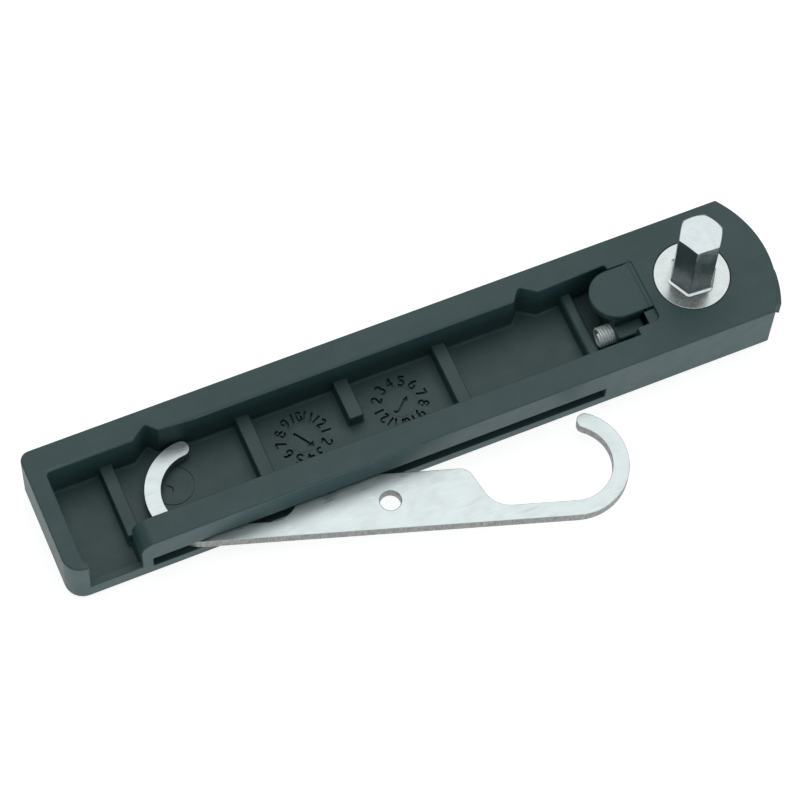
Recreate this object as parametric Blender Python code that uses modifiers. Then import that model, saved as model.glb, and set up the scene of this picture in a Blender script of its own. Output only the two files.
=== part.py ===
"""Case back opener: a moulded pocket handle with a hexagon post and a stowed steel hook blade.

Metres, +Z up. The origin is the centre of the handle's underside. +X runs along the handle to the
post, and +Y to the wall that has no slot.

The blade lies loose in a slot through the near wall. Here it swings about an upright axis in that
wall. The post turns in a bush, and a sprung latch locks it by dropping into one of its notches.
"""

from math import atan2, cos, pi, radians, sin, tan

import bmesh
import bpy
from mathutils import Vector

MM = 0.001
CLEARANCE = 0.3  # between pieces that touch or slide on the real tool

# Driving dimensions, in millimetres. Stations along X are measured from the open end.
HANDLE_LENGTH = 121.5
HANDLE_WIDTH = 21.8
HANDLE_HEIGHT = 10.0
END_RADIUS = 18.2
FAR_CORNER_RADIUS = 1.7
NEAR_CORNER_RADIUS = 3.0

GATE_ANGLES = (-31.5, -12.5)  # the trimmed moulding gate's mark on the arched end
GATE_HEIGHTS = (0.7, 0.1)  # how far it stands proud at those angles
GATE_Z = (6.5, 9.8)
GATE_ROOT = 1.0  # how far it runs into the handle

FLOOR_Z = 2.4
LIP_Z = 3.2
TROUGH_START, TROUGH_END = 2.9, 96.6
TROUGH_NEAR_Y = -6.5
TROUGH_FAR_Y_START, TROUGH_FAR_Y_END = 6.6, 7.1
OPEN_CORNER_START, OPEN_CORNER_END = 3.3, 11.7
OPEN_CORNER_FLOOR_END = 11.4
LIP_THICKNESS = 1.1
WALL_END_RADIUS = 2.3

RIB_TOP_Z = 5.0
RIBS = ((11.2, 13.3), (33.6, 35.9), (50.0, 52.4), (66.7, 69.0), (89.0, 91.0))
HALF_RIB = 2  # this one stops at the middle, to clear the blade's body
HALF_RIB_END_Y = -0.6
RIB_ROOT = 0.2  # how far a rib runs into the floor and walls

SLOT_START, SLOT_END = 13.4, 89.1
SLOT_Z = (2.3, 4.9)
TIP_NOTCHES = ((16.9, 19.6, 21.2), (80.6, 82.3, 84.9))  # start, deepest point, end
TIP_NOTCH_Y = 8.3
TIP_NOTCH_RADIUS = 0.5

BLADE_THICKNESS = 1.9
BLADE_BODY_WIDTH = 9.35
BLADE_ARM_WIDTH = 2.6
BLADE_BODY_CORNER = 12.3
BLADE_BODY_FOOT = 15.9
BLADE_BODY_CORNER_RADIUS = 2.2
BLADE_BODY_FOOT_RADIUS = 4.5
HOOK_CENTRE = 28.5
HOOK_OUTER_RADIUS = 8.95
HOOK_INNER_RADIUS = 6.35
HOOK_TIP_ANGLE = 68.0
BLADE_HOLE_RADIUS = 1.65
BLADE_HOLE_INSET = 4.75
BLADE_STOWED_X = 50.9
BLADE_STOWED_INSET = 0.05  # of its back edge from the handle's side
BLADE_PIVOT_X, BLADE_PIVOT_Y = 20.9, -9.4
BLADE_REST_ANGLE = -18.0

POST_X = 108.5
POST_FLATS = 6.35  # a quarter-inch hexagon
POST_REST_ANGLE = -3.75  # half a facet of the chamfers, so that no corner of the two coincides
POST_TOP_Z = 23.1
POST_CHAMFER = 0.5
POST_CROWN_INSET = 0.1  # of the end faces' circles from the flats
SHANK_RADIUS = 2.5
JOURNAL_RADIUS = 2.0
CLIP_GROOVE_RADIUS = 1.6
LOCK_NOTCHES = 12
LOCK_NOTCH_WIDTH = 0.8
LOCK_NOTCH_DEPTH = 0.6
LOCK_Z = (4.3, 7.3)

WASHER_RADIUS = 6.0
WASHER_THICKNESS = 1.5
BUSH_RADIUS = 3.5
BUSH_Z = (2.2, 4.0)
BACK_WASHER_RADIUS = 4.2
BACK_WASHER_Z = (1.5, 1.9)
CLIP_RADIUS = 3.6
CLIP_Z = (0.7, 1.2)
CLIP_MOUTH = 1.6
SHANK_END_Z = 0.2
COUNTERBORE_RADIUS = 4.8
COUNTERBORE_Z = 2.0

PAD_START, PAD_END = 91.8, 100.05
PAD_NEAR_Y, PAD_FAR_Y = -2.6, 5.9
PAD_THICKNESS = 1.3
PAD_POCKET_END = 100.65
PAD_POCKET_NEAR_Y = -5.2
PAD_POCKET_RADIUS = 1.0
STEM_START, STEM_END = 94.0, 98.9
STEM_NEAR_Y, STEM_FAR_Y = -2.4, 3.0
WELL_START, WELL_END = 96.4, 99.4
WELL_FLOOR_Z = 2.3
NOSE_Z = (4.8, 6.8)
NOSE_WIDTH = 2.0
NOSE_SHOULDER_LENGTH = 0.8
NOSE_TIP_WIDTH = 0.45
NOSE_TIP_LENGTH = 0.9
NOSE_TIP_GAP = 0.15

SPRING_Y, SPRING_Z = -2.1, 4.5
SPRING_RADIUS = 1.7
SPRING_WIRE_RADIUS = 0.22
SPRING_TURNS = 5
SPRING_END = 97.0
HOUSING_NEAR_Y, HOUSING_FAR_Y = -4.7, 0.0
HOUSING_TOP_Z = 6.9

CUTTER_REACH = 2.0  # how far cutters run past the faces they open
OVERLAP = 0.5  # how far pieces that are joined, or spaces that open into each other, overlap

PARTS = bpy.data.collections.new("case_back_opener")
CUTTERS = bpy.data.collections.new("case_back_opener_cutters")


def station(x):
    """X in the part's frame for a station measured from the open end."""
    return x - HANDLE_LENGTH / 2


def arc(centre, radius, start, end, steps):
    """Points along an arc, with its angles in degrees."""
    angles = [radians(start + (end - start) * i / steps) for i in range(steps + 1)]
    return [(centre[0] + radius * cos(a), centre[1] + radius * sin(a)) for a in angles]


def rounded(before, corner, after, radius, steps=6):
    """Points of the arc that rounds a corner between two straight edges."""
    corner = Vector(corner)
    to_before = (Vector(before) - corner).normalized()
    to_after = (Vector(after) - corner).normalized()
    half = to_before.angle(to_after) / 2
    centre = corner + (to_before + to_after).normalized() * (radius / sin(half))
    first = corner + to_before * (radius / tan(half)) - centre
    last = corner + to_after * (radius / tan(half)) - centre
    start = atan2(first.y, first.x)
    turn = (atan2(last.y, last.x) - start + pi) % (2 * pi) - pi
    angles = [start + turn * i / steps for i in range(steps + 1)]
    return [(centre.x + radius * cos(a), centre.y + radius * sin(a)) for a in angles]


def add_object(name, mesh, collection):
    obj = bpy.data.objects.new(name, mesh)
    collection.objects.link(obj)
    if collection is CUTTERS:
        obj.hide_render = True
        obj.display_type = "WIRE"
    return obj


def plate(name, outlines, z_low, z_high, collection=PARTS):
    """A flat piece from closed outlines in millimetres. Inner outlines are holes."""
    curve = bpy.data.curves.new(name, "CURVE")
    curve.dimensions = "2D"
    curve.fill_mode = "BOTH"
    curve.extrude = (z_high - z_low) / 2 * MM
    for outline in outlines:
        spline = curve.splines.new("POLY")
        spline.points.add(len(outline) - 1)
        for point, (x, y) in zip(spline.points, outline):
            point.co = (x * MM, y * MM, 0, 1)
        spline.use_cyclic_u = True
    source = add_object(name + "_outline", curve, collection)
    source.location.z = (z_low + z_high) / 2 * MM
    return mesh_of_curve(source, name, collection)


def mesh_of_curve(source, name, collection):
    """Replace a curve object by a welded mesh in the same place."""
    bpy.context.view_layer.update()
    evaluated = source.evaluated_get(bpy.context.evaluated_depsgraph_get())
    mesh = bpy.data.meshes.new_from_object(evaluated)
    mesh.name = name
    mesh.transform(source.matrix_world)
    bm = bmesh.new()
    bm.from_mesh(mesh)
    bmesh.ops.remove_doubles(bm, verts=bm.verts, dist=1e-6)
    bmesh.ops.recalc_face_normals(bm, faces=bm.faces)
    bm.to_mesh(mesh)
    bm.free()
    curve = source.data
    bpy.data.objects.remove(source)
    bpy.data.curves.remove(curve)
    return add_object(name, mesh, collection)


def box(name, low, high, collection=CUTTERS):
    """A box between two corners, in millimetres."""
    mesh = bpy.data.meshes.new(name)
    bm = bmesh.new()
    bmesh.ops.create_cube(bm, size=1.0)
    for vert in bm.verts:
        for axis in range(3):
            vert.co[axis] = (low[axis] if vert.co[axis] < 0 else high[axis]) * MM
    bm.to_mesh(mesh)
    bm.free()
    return add_object(name, mesh, collection)


def turned(name, profile, centre, steps=48, collection=PARTS):
    """A turned piece. The profile's (radius, z) points run down its outer side."""
    mesh = bpy.data.meshes.new(name)
    bm = bmesh.new()
    verts = [bm.verts.new((radius * MM, 0, z * MM)) for radius, z in profile]
    for first, second in zip(verts, verts[1:]):
        bm.edges.new((first, second))
    if profile[0][0] > 0:
        bm.edges.new((verts[-1], verts[0]))
    bm.to_mesh(mesh)
    bm.free()
    obj = add_object(name, mesh, collection)
    obj.location = (centre[0] * MM, centre[1] * MM, 0)
    screw = obj.modifiers.new("Screw", "SCREW")
    screw.axis = "Z"
    screw.steps = screw.render_steps = steps
    screw.use_merge_vertices = True
    screw.merge_threshold = 1e-6
    return obj


def boolean(obj, other, operation="DIFFERENCE"):
    modifier = obj.modifiers.new(other.name, "BOOLEAN")
    modifier.operation = operation
    modifier.solver = "EXACT"
    modifier.object = other
    if operation == "UNION":
        CUTTERS.objects.link(other)
        PARTS.objects.unlink(other)
        other.hide_render = True
        other.display_type = "WIRE"


def finish(obj, colour, roughness, metallic, smooth_angle=30):
    """Give a piece its own material and shade its round faces smooth."""
    material = bpy.data.materials.new(obj.name)
    material.use_nodes = True
    shader = material.node_tree.nodes["Principled BSDF"]
    shader.inputs["Base Color"].default_value = (*colour, 1)
    shader.inputs["Roughness"].default_value = roughness
    shader.inputs["Metallic"].default_value = metallic
    obj.data.materials.clear()
    obj.data.materials.append(material)
    if obj.modifiers and obj.modifiers[0].type == "SCREW":
        obj.modifiers[0].use_smooth_shade = True
        return
    obj.data.shade_smooth()
    obj.data.set_sharp_from_angle(angle=radians(smooth_angle))


def move_origin(obj, x, y):
    """Put a piece's origin on an upright axis, in millimetres, without moving the piece."""
    shift = Vector((x * MM, y * MM, 0))
    for vert in obj.data.vertices:
        vert.co -= shift
    obj.location += shift


def handle_outline():
    """The handle's plan: a rectangle with two rounded corners and one arched end."""
    half = HANDLE_WIDTH / 2
    left, right = station(0), station(HANDLE_LENGTH)
    arch = (right - END_RADIUS, 0)
    sweep = atan2(half, (END_RADIUS ** 2 - half ** 2) ** 0.5) * 180 / pi
    points = rounded((left, 0), (left, -half), (0, -half), NEAR_CORNER_RADIUS)
    points += arc(arch, END_RADIUS, -sweep, sweep, 24)
    points += rounded((0, half), (left, half), (left, 0), FAR_CORNER_RADIUS, 4)
    return points


def add_gate_mark(handle):
    """The low ridge that the trimmed gate leaves, which thins out along the arched end."""
    arch = (station(HANDLE_LENGTH) - END_RADIUS, 0)
    steps = 6
    outer = []
    for i in range(steps + 1):
        angle = GATE_ANGLES[0] + (GATE_ANGLES[1] - GATE_ANGLES[0]) * i / steps
        proud = GATE_HEIGHTS[0] + (GATE_HEIGHTS[1] - GATE_HEIGHTS[0]) * i / steps
        outer += arc(arch, END_RADIUS + proud, angle, angle, 1)[:1]
    inner = arc(arch, END_RADIUS - GATE_ROOT, GATE_ANGLES[1], GATE_ANGLES[0], steps)
    boolean(handle, plate("gate_mark", [outer + inner], *GATE_Z), "UNION")


def trough_outline():
    """The trough's plan, out to the open corner's lip, with a notch for each of the blade's tips."""
    start, end = station(TROUGH_START), station(TROUGH_END)
    slope = (TROUGH_FAR_Y_END - TROUGH_FAR_Y_START) / (end - start)

    def far_y(x):
        return TROUGH_FAR_Y_START + slope * (x - start)

    corner_end = station(OPEN_CORNER_FLOOR_END)
    lip_y = -HANDLE_WIDTH / 2 + LIP_THICKNESS
    points = [(start, lip_y), (corner_end, lip_y), (corner_end, TROUGH_NEAR_Y)]
    points += [(end, TROUGH_NEAR_Y), (end, TROUGH_FAR_Y_END)]
    for notch_start, deepest, notch_end in reversed(TIP_NOTCHES):
        a, b, c = station(notch_start), station(deepest), station(notch_end)
        points.append((c, far_y(c)))
        points += rounded((c, far_y(c)), (b, TIP_NOTCH_Y), (a, far_y(a)), TIP_NOTCH_RADIUS, 3)
        points.append((a, far_y(a)))
    points.append((start, TROUGH_FAR_Y_START))
    return points


def open_corner_outline():
    """The near wall's missing stretch seen from the side: X across and Z up."""
    start, end, top = station(OPEN_CORNER_START), station(OPEN_CORNER_END), HANDLE_HEIGHT
    above = top + CUTTER_REACH
    shoulder = rounded((end, LIP_Z), (end, top), (station(HANDLE_LENGTH), top), WALL_END_RADIUS, 8)
    return [(start, LIP_Z), (end, LIP_Z)] + shoulder + [(end + WALL_END_RADIUS, above), (start, above)]


def cut_trough(handle):
    """The trough, and the ribs that stand on its floor."""
    above = HANDLE_HEIGHT + CUTTER_REACH
    boolean(handle, plate("trough_cut", [trough_outline()], FLOOR_Z, above, CUTTERS))
    for number, (rib_start, rib_end) in enumerate(RIBS):
        near_y = HALF_RIB_END_Y if number == HALF_RIB else TROUGH_NEAR_Y - RIB_ROOT
        rib = box(f"rib_{number}", (station(rib_start), near_y, FLOOR_Z - RIB_ROOT),
                  (station(rib_end), TROUGH_FAR_Y_END + RIB_ROOT, RIB_TOP_Z), PARTS)
        boolean(handle, rib, "UNION")


def cut_open_corner(handle):
    """Open the near wall at the open end, down to a low lip, and round the wall's upper corner."""
    inside, outside = TROUGH_NEAR_Y + OVERLAP, -HANDLE_WIDTH / 2 - CUTTER_REACH
    cut = plate("corner_cut", [open_corner_outline()], -inside, -outside, CUTTERS)
    cut.rotation_euler.x = pi / 2
    boolean(handle, cut)


def cut_slot(handle):
    """The slot through the near wall that the blade slides in."""
    low = (station(SLOT_START), -HANDLE_WIDTH / 2 - CUTTER_REACH, SLOT_Z[0])
    boolean(handle, box("slot_cut", low, (station(SLOT_END), TROUGH_NEAR_Y + OVERLAP, SLOT_Z[1])))


def cut_post_seat(handle):
    """The stepped bore for the washer, shank, bush and clip."""
    washer = WASHER_RADIUS + CLEARANCE
    washer_floor = HANDLE_HEIGHT - WASHER_THICKNESS - CLEARANCE
    shank = SHANK_RADIUS + CLEARANCE
    bush = BUSH_RADIUS + CLEARANCE
    bush_top = BUSH_Z[1] + CLEARANCE
    profile = [(0, HANDLE_HEIGHT + CUTTER_REACH), (washer, HANDLE_HEIGHT + CUTTER_REACH),
               (washer, washer_floor), (shank, washer_floor), (shank, bush_top),
               (bush, bush_top), (bush, COUNTERBORE_Z), (COUNTERBORE_RADIUS, COUNTERBORE_Z),
               (COUNTERBORE_RADIUS, -CUTTER_REACH), (0, -CUTTER_REACH)]
    boolean(handle, turned("post_seat_cut", profile, (station(POST_X), 0), 48, CUTTERS))


def cut_latch_ways(handle):
    """The latch pad's pocket, the stem's well and the nose's channel to the post."""
    pocket_z = HANDLE_HEIGHT - PAD_THICKNESS - CLEARANCE
    above = HANDLE_HEIGHT + CUTTER_REACH
    near, far = PAD_POCKET_NEAR_Y, PAD_FAR_Y + CLEARANCE
    left, right = station(TROUGH_END) - OVERLAP, station(PAD_POCKET_END)
    pocket = [(left, near)] + rounded((left, near), (right, near), (right, far), PAD_POCKET_RADIUS, 4)
    pocket += [(right, far), (left, far)]
    boolean(handle, plate("pad_pocket_cut", [pocket], pocket_z, above, CUTTERS))
    well_low = (station(WELL_START), HOUSING_NEAR_Y - CLEARANCE, WELL_FLOOR_Z)
    well_high = (station(WELL_END), STEM_FAR_Y + CLEARANCE, pocket_z + OVERLAP)
    boolean(handle, box("stem_well_cut", well_low, well_high))
    half_way = NOSE_WIDTH / 2 + CLEARANCE
    channel_low = (station(WELL_END) - OVERLAP, -half_way, NOSE_Z[0] - CLEARANCE)
    channel_high = (station(POST_X) - SHANK_RADIUS + OVERLAP, half_way, NOSE_Z[1] + CLEARANCE)
    boolean(handle, box("nose_channel_cut", channel_low, channel_high))


def make_handle():
    handle = plate("handle_body", [handle_outline()], 0, HANDLE_HEIGHT)
    add_gate_mark(handle)
    cut_trough(handle)
    cut_open_corner(handle)
    cut_slot(handle)
    cut_post_seat(handle)
    cut_latch_ways(handle)
    finish(handle, (0.045, 0.058, 0.062), 0.55, 0)


def blade_half_outline():
    """Half of the blade's outline, from the middle of its back edge to the middle of its front."""
    hook = (HOOK_CENTRE, HOOK_OUTER_RADIUS)
    middle_radius = (HOOK_OUTER_RADIUS + HOOK_INNER_RADIUS) / 2
    tip_radius = (HOOK_OUTER_RADIUS - HOOK_INNER_RADIUS) / 2
    tip = arc(hook, middle_radius, HOOK_TIP_ANGLE, HOOK_TIP_ANGLE, 1)[0]
    foot = (BLADE_BODY_FOOT, BLADE_ARM_WIDTH)
    corner = (BLADE_BODY_CORNER, BLADE_BODY_WIDTH)
    points = arc(hook, HOOK_OUTER_RADIUS, -90, HOOK_TIP_ANGLE, 26)
    points += arc(tip, tip_radius, HOOK_TIP_ANGLE, HOOK_TIP_ANGLE + 180, 6)[1:-1]
    points += arc(hook, HOOK_INNER_RADIUS, HOOK_TIP_ANGLE, -90, 22)
    points += rounded((HOOK_CENTRE, BLADE_ARM_WIDTH), foot, corner, BLADE_BODY_FOOT_RADIUS)
    points += rounded(foot, corner, (0, BLADE_BODY_WIDTH), BLADE_BODY_CORNER_RADIUS)
    return points


def make_blade():
    """A flat double hook with one hole, modelled stowed and then swung out of its slot."""
    half = blade_half_outline()
    outline = half + [(-u, v) for u, v in reversed(half)]
    hole = arc((0, BLADE_HOLE_INSET), BLADE_HOLE_RADIUS, 0, 360, 32)[:-1]
    x = station(BLADE_STOWED_X)
    y = -HANDLE_WIDTH / 2 + BLADE_STOWED_INSET
    placed = [[(u + x, v + y) for u, v in loop] for loop in (outline, hole)]
    low = FLOOR_Z + CLEARANCE
    blade = plate("hook_blade", placed, low, low + BLADE_THICKNESS)
    move_origin(blade, station(BLADE_PIVOT_X), BLADE_PIVOT_Y)
    blade.rotation_euler.z = radians(BLADE_REST_ANGLE)
    finish(blade, (0.72, 0.74, 0.75), 0.32, 1)


def make_post():
    """The hexagon, with turned chamfers at both ends, on a shank with notches and a clip groove."""
    centre = (station(POST_X), 0)
    flat = POST_FLATS / 2
    low, top = HANDLE_HEIGHT + CLEARANCE, POST_TOP_Z
    corners = arc(centre, flat / cos(pi / 6), POST_REST_ANGLE, POST_REST_ANGLE + 360, 6)[:-1]
    hexagon = plate("hexagon", [corners], low, top)
    wide, crown = flat + 3 * POST_CHAMFER, flat - POST_CROWN_INSET
    profile = [(0, top + OVERLAP), (crown, top + OVERLAP), (crown, top),
               (wide, top - 2 * POST_CHAMFER), (wide, low + 2 * POST_CHAMFER),
               (crown, low), (crown, low - OVERLAP), (0, low - OVERLAP)]
    boolean(hexagon, turned("post_chamfers", profile, centre, 48, CUTTERS), "INTERSECT")
    groove_top = CLIP_Z[1] + CLEARANCE / 2
    groove_low = CLIP_Z[0] - CLEARANCE / 2
    shank = [(0, low + OVERLAP), (SHANK_RADIUS, low + OVERLAP), (SHANK_RADIUS, LOCK_Z[0]),
             (JOURNAL_RADIUS, LOCK_Z[0]), (JOURNAL_RADIUS, groove_top),
             (CLIP_GROOVE_RADIUS, groove_top), (CLIP_GROOVE_RADIUS, groove_low),
             (JOURNAL_RADIUS, groove_low), (JOURNAL_RADIUS, SHANK_END_Z), (0, SHANK_END_Z)]
    post = turned("hex_post", shank, centre)
    for notch in range(LOCK_NOTCHES):
        low_corner = (SHANK_RADIUS - LOCK_NOTCH_DEPTH, -LOCK_NOTCH_WIDTH / 2, LOCK_Z[0] - OVERLAP)
        high_corner = (SHANK_RADIUS + OVERLAP, LOCK_NOTCH_WIDTH / 2, LOCK_Z[1])
        cut = box(f"lock_notch_cut_{notch}", low_corner, high_corner)
        cut.location.x = station(POST_X) * MM
        cut.rotation_euler.z = 2 * pi * notch / LOCK_NOTCHES
        boolean(post, cut)
    boolean(post, hexagon, "UNION")
    finish(post, (0.78, 0.8, 0.81), 0.16, 1)


def ring_profile(inner, outer, low, high):
    return [(inner, high), (outer, high), (outer, low), (inner, low)]


def make_post_fittings():
    """The washer set flush in the top face, and the bush, washer and clip below it."""
    centre = (station(POST_X), 0)
    washer_low = HANDLE_HEIGHT - WASHER_THICKNESS
    washer = turned("post_washer", ring_profile(SHANK_RADIUS + CLEARANCE, WASHER_RADIUS,
                                                washer_low, HANDLE_HEIGHT), centre, 64)
    finish(washer, (0.83, 0.84, 0.84), 0.1, 1)
    journal_bore = JOURNAL_RADIUS + CLEARANCE
    bush = turned("post_bush", ring_profile(journal_bore, BUSH_RADIUS, *BUSH_Z), centre)
    finish(bush, (0.72, 0.52, 0.25), 0.35, 1)
    back = turned("back_washer", ring_profile(journal_bore, BACK_WASHER_RADIUS, *BACK_WASHER_Z), centre)
    finish(back, (0.7, 0.71, 0.72), 0.3, 1)
    clip = turned("retaining_clip", ring_profile(CLIP_GROOVE_RADIUS + CLEARANCE / 2, CLIP_RADIUS, *CLIP_Z),
                  centre)
    mouth_low = (station(POST_X) - CLIP_MOUTH / 2, -CLIP_RADIUS - OVERLAP, CLIP_Z[0] - OVERLAP)
    mouth_high = (station(POST_X) + CLIP_MOUTH / 2, 0, CLIP_Z[1] + OVERLAP)
    boolean(clip, box("clip_mouth_cut", mouth_low, mouth_high))
    finish(clip, (0.12, 0.12, 0.12), 0.4, 1)


def make_latch():
    """A thumb pad, a stem with the spring's housing, and a nose that reaches to the post."""
    radius = (PAD_FAR_Y - PAD_NEAR_Y) / 2
    centre = (station(PAD_START) + radius, (PAD_NEAR_Y + PAD_FAR_Y) / 2)
    outline = arc(centre, radius, 90, 270, 20)
    outline += [(station(PAD_END), PAD_NEAR_Y), (station(PAD_END), PAD_FAR_Y)]
    pad_low = HANDLE_HEIGHT - PAD_THICKNESS
    latch = plate("latch_tab", [outline], pad_low, HANDLE_HEIGHT)
    low = FLOOR_Z + CLEARANCE
    stem = box("latch_stem", (station(STEM_START), STEM_NEAR_Y, low),
               (station(STEM_END), STEM_FAR_Y, pad_low + OVERLAP), PARTS)
    boolean(latch, stem, "UNION")
    housing = box("latch_housing", (station(STEM_START), HOUSING_NEAR_Y, low),
                  (station(STEM_END), HOUSING_FAR_Y, HOUSING_TOP_Z), PARTS)
    boolean(latch, housing, "UNION")
    tip_end = station(POST_X) - SHANK_RADIUS - NOSE_TIP_GAP
    tip_start = tip_end - NOSE_TIP_LENGTH
    shoulder = tip_start - NOSE_SHOULDER_LENGTH
    root = station(STEM_END) - OVERLAP
    half, half_tip = NOSE_WIDTH / 2, NOSE_TIP_WIDTH / 2
    nose_outline = [(root, -half), (shoulder, -half), (tip_start, -half_tip), (tip_end, -half_tip),
                    (tip_end, half_tip), (tip_start, half_tip), (shoulder, half), (root, half)]
    boolean(latch, plate("latch_nose", [nose_outline], *NOSE_Z), "UNION")
    seat = SPRING_RADIUS + CLEARANCE
    boolean(latch, box("spring_seat_cut", (station(STEM_START) - OVERLAP, SPRING_Y - seat, low - OVERLAP),
                       (station(SPRING_END) + CLEARANCE, SPRING_Y + seat, SPRING_Z + seat)))
    finish(latch, (0.045, 0.055, 0.058), 0.5, 0)


def make_spring():
    """A compression coil along X, with its closed turns at each end left out."""
    points_per_turn = 12
    start = station(RIBS[-1][1]) + CLEARANCE + SPRING_WIRE_RADIUS
    end = station(SPRING_END) - SPRING_WIRE_RADIUS
    mean_radius = SPRING_RADIUS - SPRING_WIRE_RADIUS
    curve = bpy.data.curves.new("latch_spring", "CURVE")
    curve.dimensions = "3D"
    curve.bevel_depth = SPRING_WIRE_RADIUS * MM
    curve.bevel_resolution = 2
    curve.use_fill_caps = True
    spline = curve.splines.new("POLY")
    count = SPRING_TURNS * points_per_turn + 1
    spline.points.add(count - 1)
    for i, point in enumerate(spline.points):
        angle = 2 * pi * i / points_per_turn
        x = start + (end - start) * i / (count - 1)
        y = SPRING_Y + mean_radius * cos(angle)
        z = SPRING_Z + mean_radius * sin(angle)
        point.co = (x * MM, y * MM, z * MM, 1)
    source = add_object("latch_spring_path", curve, PARTS)
    spring = mesh_of_curve(source, "latch_spring", PARTS)
    finish(spring, (0.75, 0.76, 0.77), 0.25, 1, 60)


def main():
    for obj in list(bpy.data.objects):
        bpy.data.objects.remove(obj)
    for collection in (PARTS, CUTTERS):
        bpy.context.scene.collection.children.link(collection)
    make_handle()
    make_blade()
    make_post()
    make_post_fittings()
    make_latch()
    make_spring()


main()
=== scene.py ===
"""Looks for the case back opener: moulded handle, hexagon post, sprung latch and hook blade.

Outlines are in millimetres, and meshes in metres. +X runs along the handle to the post, +Y to the
wall that has no slot, and +Z up. Stations along X are measured from the open end.
"""

from math import atan2, cos, degrees, pi, radians, sin, sqrt, tan

import bmesh
import bpy
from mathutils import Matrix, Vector


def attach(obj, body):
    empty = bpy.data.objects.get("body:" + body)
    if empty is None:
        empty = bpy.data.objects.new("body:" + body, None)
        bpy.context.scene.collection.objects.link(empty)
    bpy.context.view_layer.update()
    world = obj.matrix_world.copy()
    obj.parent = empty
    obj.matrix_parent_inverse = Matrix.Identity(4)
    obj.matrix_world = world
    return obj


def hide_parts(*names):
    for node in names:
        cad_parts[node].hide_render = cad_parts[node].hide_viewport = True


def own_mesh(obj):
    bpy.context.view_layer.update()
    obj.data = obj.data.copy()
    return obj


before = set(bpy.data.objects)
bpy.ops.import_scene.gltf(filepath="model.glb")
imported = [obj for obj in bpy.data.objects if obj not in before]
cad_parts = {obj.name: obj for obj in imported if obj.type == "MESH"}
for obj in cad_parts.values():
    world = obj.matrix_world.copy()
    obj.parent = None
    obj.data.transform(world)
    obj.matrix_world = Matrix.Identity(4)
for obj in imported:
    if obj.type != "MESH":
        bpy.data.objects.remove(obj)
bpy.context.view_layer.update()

MM = 0.001

HANDLE_LENGTH = 121.5
HANDLE_WIDTH = 21.8
HANDLE_HEIGHT = 10.0
HALF_WIDTH = HANDLE_WIDTH / 2
END_RADIUS = 18.2
FAR_CORNER_RADIUS = 1.7
NEAR_CORNER_RADIUS = 3.0
GATE_ANGLES = (-31.5, -12.5)
GATE_HEIGHTS = (0.7, 0.1)
GATE_Z = (6.5, 9.8)
GATE_EDGES = (0.3, 0.12)

FLOOR_Z = 2.4
LIP_Z = 3.2
TROUGH_START, TROUGH_END = 2.9, 96.6
TROUGH_NEAR_Y = -6.5
TROUGH_FAR_Y_START, TROUGH_FAR_Y_END = 6.38, 6.9
# The far wall between its ends, with a notch for each of the stowed blade's tips. After the first
# notch it leaves room for the tip to swing past.
FAR_WALL = ((16.9, 6.38), (19.6, 8.3), (21.2, 6.64), (27.0, 6.3),
            (80.6, 6.3), (82.3, 8.3), (84.9, 6.45))
NOTCH_BOTTOMS = (1, 5)
TROUGH_CORNER_RADIUS, TROUGH_START_RADIUS = 0.5, 0.6
RIM_RELIEF_Y = (6.75, 7.15)  # where the far rim's shallow chamfer starts, at both ends
RIM_RELIEF_LOW_Y, RIM_RELIEF_LOW_Z = 6.0, 9.65
RIM_RELIEF_END = 84.0
OPEN_CORNER_START, OPEN_CORNER_END = 3.3, 11.7
LIP_THICKNESS = 1.1
WALL_END_RADIUS = 2.3
RIB_TOP_Z = 5.0
RIBS = ((11.2, 13.3), (33.6, 35.9), (50.0, 52.4), (66.7, 69.0), (89.0, 91.0))
HALF_RIB = 2
HALF_RIB_END_Y = -0.6
RIB_ROUNDING = 0.22
NARROW_RIB, NARROW_RIB_ROUNDING = 4, 0.55  # the rib with the rounder, narrower top
SLOT_START, SLOT_END = 13.4, 89.1
SLOT_Z = (2.3, 4.9)
SLOT_CORNER_RADIUS, SLOT_EDGE = 0.25, 0.12

BLADE_LOW, BLADE_HIGH = 2.7, 4.6
BLADE_BODY_WIDTH = 9.35
BLADE_ARM_WIDTH = 2.6
BLADE_BODY_CORNER, BLADE_BODY_CORNER_RADIUS = 12.3, 2.2
BLADE_BODY_FOOT, BLADE_BODY_FOOT_RADIUS = 15.9, 4.5
HOOK_CENTRE = 28.5
HOOK_OUTER_RADIUS, HOOK_INNER_RADIUS = 8.95, 6.35
HOOK_TIP_ANGLE = 68.0
BLADE_HOLE_RADIUS, BLADE_HOLE_INSET = 1.65, 4.75
BLADE_STOWED_X = 50.9
BLADE_STOWED_Y = -10.85
BLADE_PIVOT_X, BLADE_PIVOT_Y = 20.9, -9.4
BLADE_REST_ANGLE = -18.0
BLADE_EDGES = (0.08, 0.1)
HOLE_LOW_EDGE, HOLE_TOP_EDGE = 0.08, 0.16
SHEARED_TILT = 0.35  # faces whose normal rises less than this were cut by the press

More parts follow.
